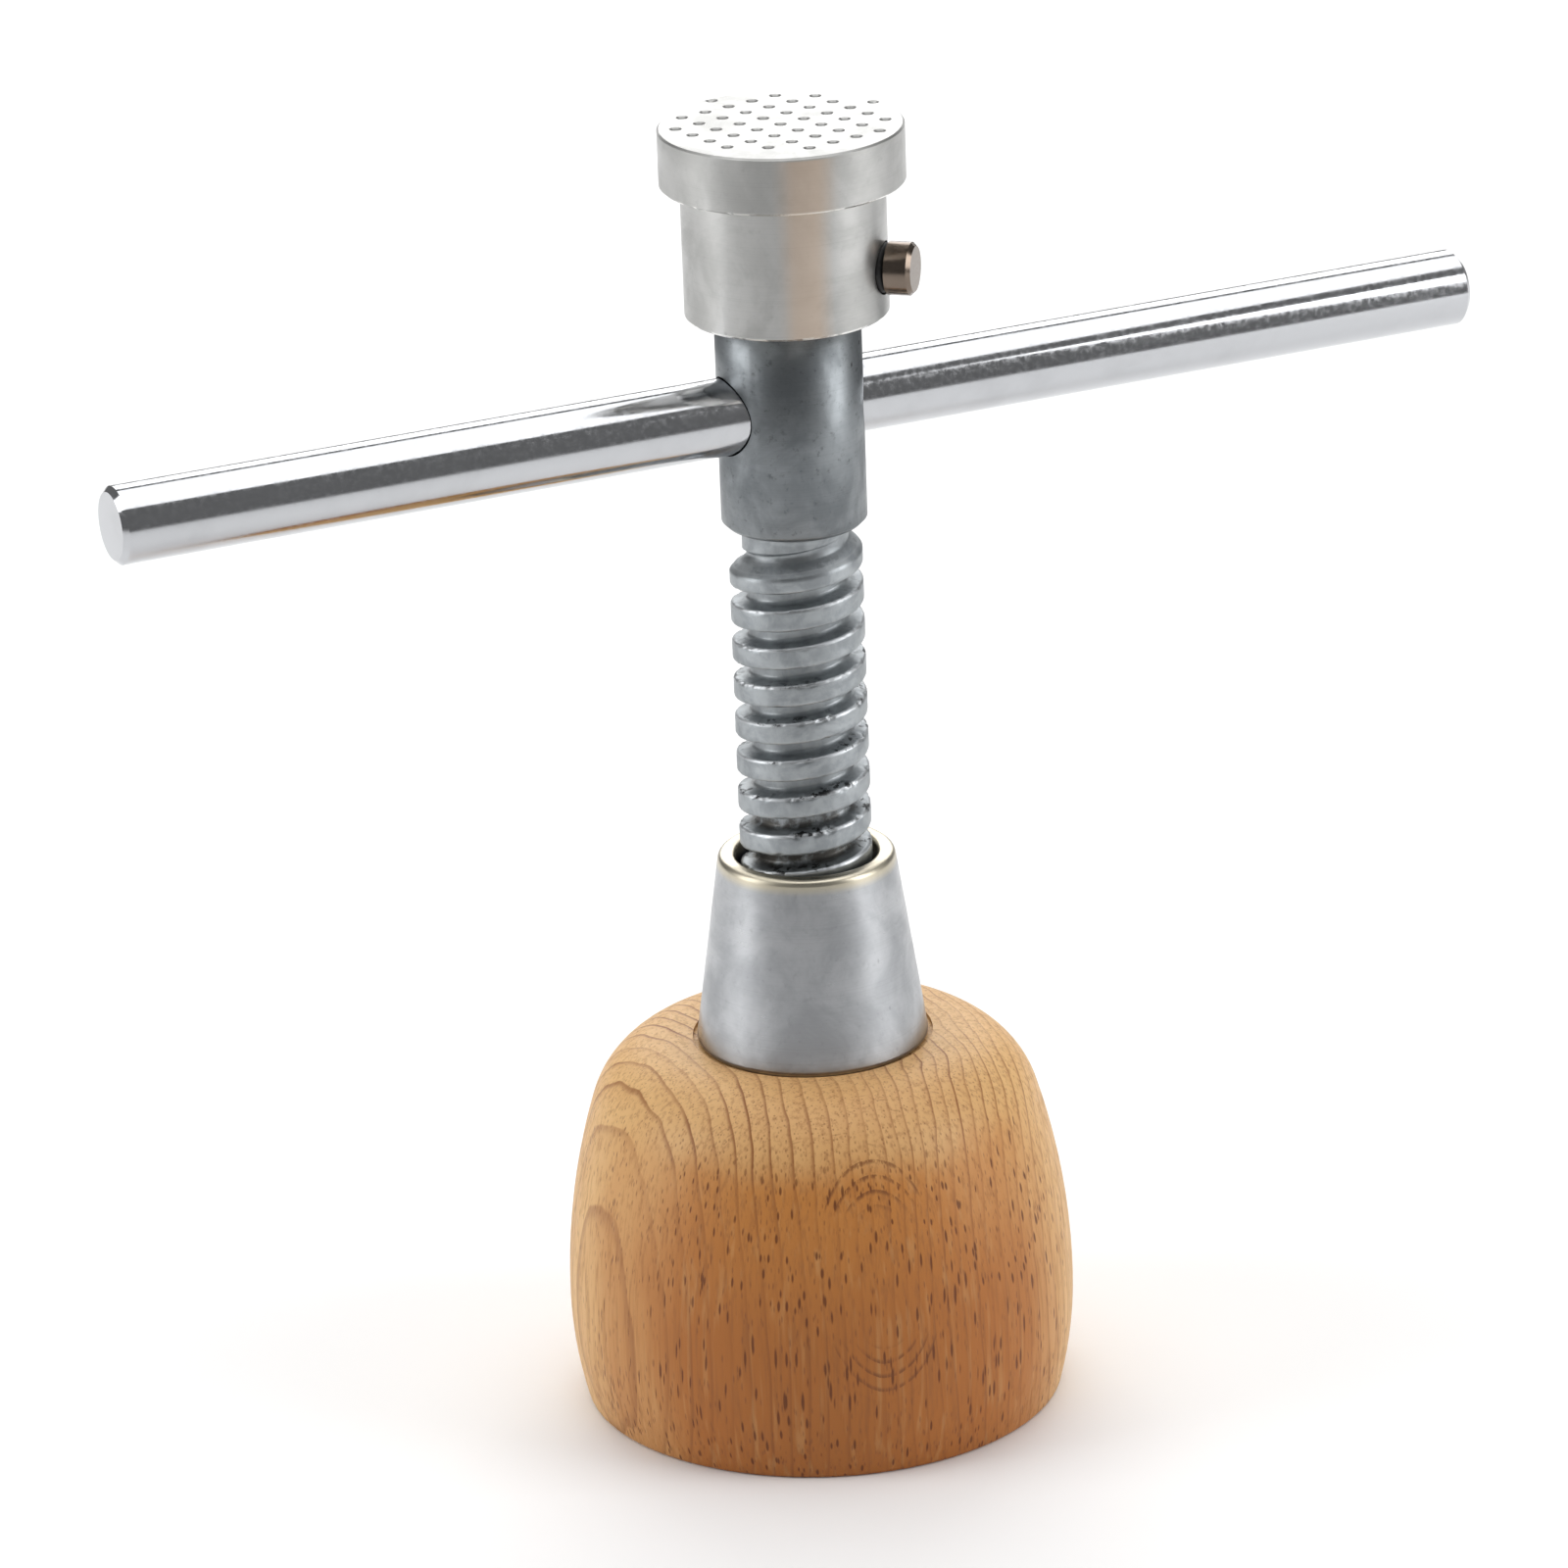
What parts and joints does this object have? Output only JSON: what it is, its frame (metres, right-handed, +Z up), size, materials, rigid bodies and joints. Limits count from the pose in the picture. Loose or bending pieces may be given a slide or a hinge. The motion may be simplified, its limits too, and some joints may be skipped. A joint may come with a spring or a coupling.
{
  "type": "screw nutcracker",
  "caption": "Hand nutcracker with a turned wooden bell, a coarse screw turned by a steel cross bar, and a textured metal cap that swivels on top",
  "frame": {"origin": "centre of the wooden base's foot, on the table", "axes": "+Z up along the screw, +X along the cross bar towards its longer side, +Y away from the pull pin's side"},
  "size_m": [0.222, 0.0782, 0.2032],
  "materials": {
    "beech": "oiled",
    "satin_steel": "satin",
    "dark_steel": "satin",
    "zinc_steel": "zinc plated",
    "bronze": "turned",
    "chrome": "polished",
    "turned_aluminium": "satin",
    "polished_steel": "polished",
    "black_rubber": "matte"
  },
  "bodies": {
    "base": {"wooden_base": "beech", "threaded_collar": "satin_steel", "collar_key": "dark_steel", "collar_washer": "dark_steel", "collar_ring_nut": "dark_steel", "drive_nut": "bronze", "drive_nut_circlip": "dark_steel", "drive_nut_lock_pin": "dark_steel"},
    "foot": {"presser_foot": "satin_steel", "foot_thrust_washer": "bronze"},
    "screw": {"spindle": "zinc_steel", "tee_bar": "chrome", "bar_set_screw": "dark_steel", "foot_washer": "dark_steel", "foot_screw": "dark_steel", "cap_thrust_washer": "bronze"},
    "cap": {"palm_cap": "turned_aluminium"},
    "pin": {"cap_pin": "polished_steel", "cap_pin_o_ring": "black_rubber"}
  },
  "joints": [
    {"name": "spindle_feed", "type": "slide", "parent": "base", "child": "foot", "axis": [0, 0, 1], "range_m": [-0.0332, 0.0006]},
    {"name": "spindle_turn", "type": "hinge", "parent": "foot", "child": "screw", "pos_m": [0, 0, 0.039], "axis": [0, 0, 1], "range_deg": [-1980, 30]},
    {"name": "cap_swivel", "type": "hinge", "parent": "screw", "child": "cap", "pos_m": [0, 0, 0.1744], "axis": [0, 0, 1], "continuous": true},
    {"name": "cap_pin_pull", "type": "slide", "parent": "cap", "child": "pin", "axis": [0.766, -0.6428, 0], "range_m": [0, 0.0035]}
  ],
  "couplings": [
    {"joint": "spindle_feed", "follows": "spindle_turn", "m_per_rad": 0.00095493}
  ]
}
